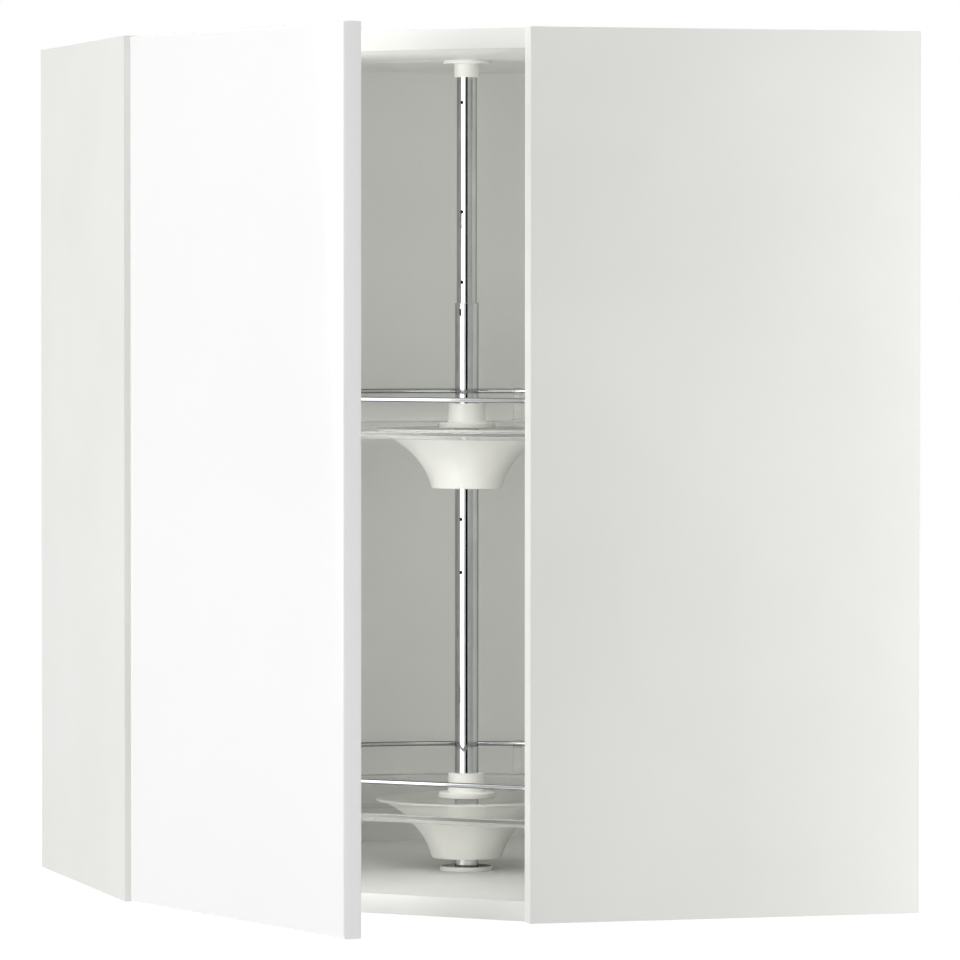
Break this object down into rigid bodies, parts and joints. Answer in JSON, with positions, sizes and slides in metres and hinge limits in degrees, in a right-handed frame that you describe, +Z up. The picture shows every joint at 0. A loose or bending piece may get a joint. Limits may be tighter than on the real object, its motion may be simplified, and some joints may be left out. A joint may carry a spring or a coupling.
{
  "type": "corner wall cabinet with carousel",
  "caption": "White corner wall cabinet with a diagonal gloss door that stands open and round clear trays with wire rails turning on a telescopic chrome pole.",
  "frame": {"origin": "the point where the carousel's axis meets the cabinet's underside", "axes": "+Z up along the carousel's axis; the two walls lie along X and Y, at x = -0.331 m and y = +0.331 m, so the door faces along +X -Y"},
  "size_m": [0.7711, 0.67, 0.8],
  "materials": {
    "foil_board": "particle board with a white satin foil",
    "backing_board": "thin fibreboard, white on the inside",
    "gloss_door": "fibreboard with a high-gloss white foil, front edges rounded",
    "beech": "turned beech",
    "plated_fasteners": "zinc plated",
    "galvanised_steel": "galvanised sheet",
    "nickel_plated_steel": "nickel plated, satin",
    "white_plastic": "injection moulded, satin",
    "bumper_rubber": "soft clear",
    "chrome_tube": "bright chrome plated steel",
    "clear_plastic": "clear, polished"
  },
  "bodies": {
    "cabinet": {"side_panel_left": "foil_board", "side_panel_right": "foil_board", "top_panel": "foil_board", "bottom_panel": "foil_board", "back_panel_left": "backing_board", "back_panel_right": "backing_board", "corner_batten": "foil_board", "cam_locks": "plated_fasteners", "cam_bolts": "plated_fasteners", "dowels": "beech", "back_nails": "plated_fasteners", "hanging_bracket_left": "galvanised_steel", "hanging_bracket_right": "galvanised_steel", "bracket_screws": "plated_fasteners", "hinge_plate_lower": "nickel_plated_steel", "hinge_plate_upper": "nickel_plated_steel", "hinge_arm_lower": "nickel_plated_steel", "hinge_arm_upper": "nickel_plated_steel", "hinge_plate_screws": "plated_fasteners", "hinge_arm_screws": "plated_fasteners", "arm_pins": "nickel_plated_steel", "ceiling_bearing": "white_plastic", "floor_bearing": "white_plastic", "bearing_screws": "plated_fasteners"},
    "door": {"door_panel": "gloss_door", "hinge_cup_lower": "nickel_plated_steel", "hinge_cup_upper": "nickel_plated_steel", "hinge_cup_screws": "plated_fasteners", "cup_pins": "nickel_plated_steel", "door_bumpers": "bumper_rubber"},
    "hinge_bars": {"hinge_bar_lower": "nickel_plated_steel", "hinge_bar_upper": "nickel_plated_steel", "elbow_pins": "nickel_plated_steel"},
    "hinge_couplers": {"hinge_coupler_lower": "nickel_plated_steel", "hinge_coupler_upper": "nickel_plated_steel"},
    "carousel": {"lower_pole": "chrome_tube", "pole_spring": "plated_fasteners", "lower_tray": "clear_plastic", "upper_tray": "clear_plastic", "lower_rail": "chrome_tube", "upper_rail": "chrome_tube", "lower_rail_posts": "clear_plastic", "upper_rail_posts": "clear_plastic", "lower_hub": "white_plastic", "upper_hub": "white_plastic", "lower_cone": "white_plastic", "upper_cone": "white_plastic", "tray_pins": "plated_fasteners"},
    "pole_extension": {"upper_pole": "chrome_tube", "pole_pin": "plated_fasteners"}
  },
  "joints": [
    {"name": "door", "type": "hinge", "parent": "cabinet", "child": "door", "pos_m": [0.03817, -0.34861, 0.4], "axis": [0, 0, -1], "range_deg": [-30, 65]},
    {"name": "hinge_bars", "type": "hinge", "parent": "cabinet", "child": "hinge_bars", "pos_m": [0.03817, -0.30761, 0.4], "axis": [0, 0, -1], "range_deg": [-30, 65]},
    {"name": "hinge_couplers", "type": "hinge", "parent": "door", "child": "hinge_couplers", "pos_m": [0.07447, -0.3218, 0.4], "axis": [0, 0, -1], "range_deg": [-65, 30]},
    {"name": "carousel", "type": "hinge", "parent": "cabinet", "child": "carousel", "pos_m": [0, 0, 0.4], "axis": [0, 0, 1], "range_deg": [-360, 360]},
    {"name": "pole_extension", "type": "slide", "parent": "carousel", "child": "pole_extension", "axis": [0, 0, 1], "range_m": [-0.006, 0], "stiffness_N_per_m": 1000, "springref_m": 0.01, "deforming": ["pole_spring"]}
  ],
  "couplings": [
    {"joint": "hinge_bars", "follows": "door", "ratio": 1},
    {"joint": "hinge_couplers", "follows": "door", "ratio": -1}
  ]
}
